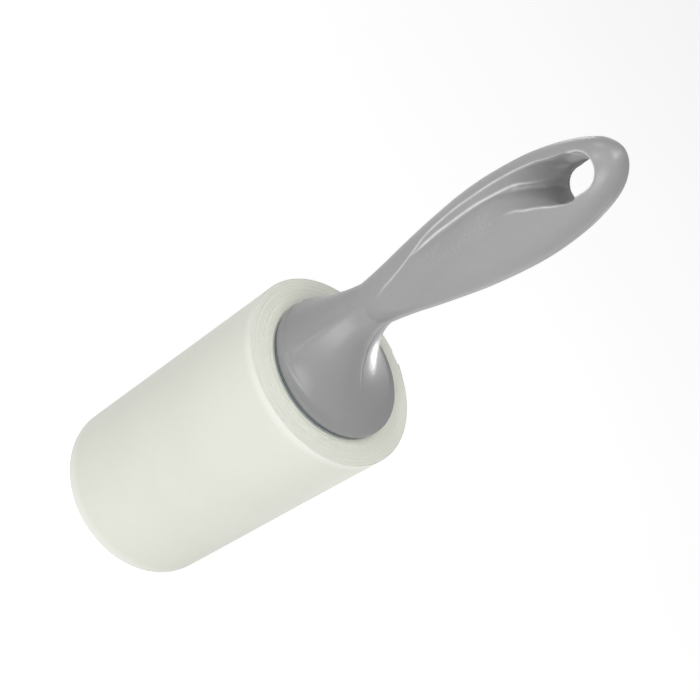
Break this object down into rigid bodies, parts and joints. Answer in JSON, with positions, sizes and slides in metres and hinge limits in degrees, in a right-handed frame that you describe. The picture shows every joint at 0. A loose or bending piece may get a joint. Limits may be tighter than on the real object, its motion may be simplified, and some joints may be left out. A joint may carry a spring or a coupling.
{
  "type": "lint roller",
  "caption": "Hand-held lint roller: a sculpted two-shell handle with a hang hole carries a free-turning sleeve that holds a slide-off roll of adhesive sheets.",
  "frame": {"origin": "centre of the roll's far end face, on which the lint roller stands", "axes": "+Z along the roll's axis towards the handle's tip; -Y is the handle's sculpted front; the handle leans its width towards -X"},
  "size_m": [0.062, 0.0619, 0.2146],
  "materials": {
    "handle_plastic": "satin",
    "spindle_plastic": "matte",
    "plated_steel": "zinc plated",
    "sleeve_plastic": "matte",
    "hub_plastic": "matte",
    "paperboard": "uncoated",
    "wound_paper": "matte",
    "sheet_paper": "smooth"
  },
  "bodies": {
    "handle": {"handle_front_shell": "handle_plastic", "handle_rear_shell": "handle_plastic", "spindle": "spindle_plastic", "washer": "plated_steel", "spindle_screw": "plated_steel"},
    "sleeve": {"sleeve_barrel": "sleeve_plastic", "near_bearing_hub": "hub_plastic", "far_bearing_hub": "sleeve_plastic", "far_end_cap": "hub_plastic"},
    "refill": {"core_tube": "paperboard", "tape_winding": "wound_paper", "outer_sheet": "sheet_paper"}
  },
  "joints": [
    {"name": "roller_spin", "type": "hinge", "parent": "handle", "child": "sleeve", "pos_m": [0, 0, 0.05], "axis": [0, 0, 1], "continuous": true},
    {"name": "refill_slide", "type": "slide", "parent": "sleeve", "child": "refill", "axis": [0, 0, -1], "range_m": [0, 0.105]}
  ]
}
